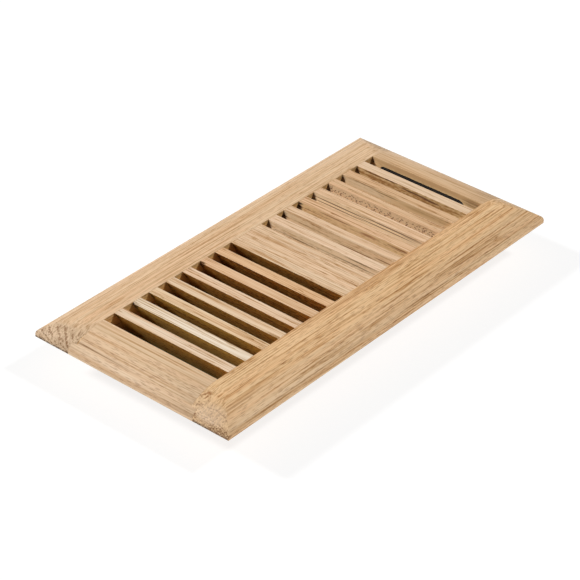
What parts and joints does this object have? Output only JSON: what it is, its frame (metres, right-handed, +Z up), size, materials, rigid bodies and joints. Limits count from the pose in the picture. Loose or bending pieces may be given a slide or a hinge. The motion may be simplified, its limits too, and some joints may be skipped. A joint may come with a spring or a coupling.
{
  "type": "floor register",
  "caption": "Oak drop-in floor register: crowned rim, slanted louvres either side of a centre rail, and a moulded damper with coupled blades and a finger lever.",
  "frame": {"origin": "centre of the duct plug, at the underside of the rim where it sits on the floor", "axes": "+X along the register towards the lever end, +Y across it, +Z up out of the floor"},
  "size_m": [0.2984, 0.146, 0.0351],
  "materials": {
    "oak": "raw, sanded",
    "damper_plastic": "moulded, fine matt texture",
    "screw_steel": "zinc plated"
  },
  "bodies": {
    "register": {"left_stile": "oak", "right_stile": "oak", "centre_rail": "oak", "lever_end_rail": "oak", "louvre_01": "oak", "louvre_02": "oak", "louvre_03": "oak", "louvre_04": "oak", "louvre_05": "oak", "louvre_06": "oak", "louvre_07": "oak", "louvre_08": "oak", "louvre_09": "oak", "louvre_10": "oak", "louvre_11": "oak", "louvre_12": "oak", "louvre_13": "oak", "louvre_14": "oak", "plain_end_rail": "oak", "damper_frame": "damper_plastic", "damper_screws": "screw_steel"},
    "middle_blade": {"damper_blade_3": "damper_plastic", "damper_lever": "damper_plastic"},
    "blade_1": {"damper_blade_1": "damper_plastic"},
    "blade_2": {"damper_blade_2": "damper_plastic"},
    "blade_4": {"damper_blade_4": "damper_plastic"},
    "blade_5": {"damper_blade_5": "damper_plastic"},
    "link": {"damper_link": "damper_plastic"}
  },
  "joints": [
    {"name": "lever_swing", "type": "hinge", "parent": "register", "child": "middle_blade", "pos_m": [0, 0, -0.0176], "axis": [1, 0, 0], "range_deg": [0, 80]},
    {"name": "blade_1_turn", "type": "hinge", "parent": "register", "child": "blade_1", "pos_m": [0, -0.03522, -0.0176], "axis": [1, 0, 0], "range_deg": [0, 80]},
    {"name": "blade_2_turn", "type": "hinge", "parent": "register", "child": "blade_2", "pos_m": [0, -0.01761, -0.0176], "axis": [1, 0, 0], "range_deg": [0, 80]},
    {"name": "blade_4_turn", "type": "hinge", "parent": "register", "child": "blade_4", "pos_m": [0, 0.01761, -0.0176], "axis": [1, 0, 0], "range_deg": [0, 80]},
    {"name": "blade_5_turn", "type": "hinge", "parent": "register", "child": "blade_5", "pos_m": [0, 0.03522, -0.0176], "axis": [1, 0, 0], "range_deg": [0, 80]},
    {"name": "link_pivot", "type": "hinge", "parent": "middle_blade", "child": "link", "pos_m": [0.11307, 0.00321, -0.01377], "axis": [1, 0, 0], "range_deg": [-80, 0]}
  ],
  "couplings": [
    {"joint": "blade_1_turn", "follows": "lever_swing", "ratio": 1},
    {"joint": "blade_2_turn", "follows": "lever_swing", "ratio": 1},
    {"joint": "blade_4_turn", "follows": "lever_swing", "ratio": 1},
    {"joint": "blade_5_turn", "follows": "lever_swing", "ratio": 1},
    {"joint": "link_pivot", "follows": "lever_swing", "ratio": -1}
  ]
}
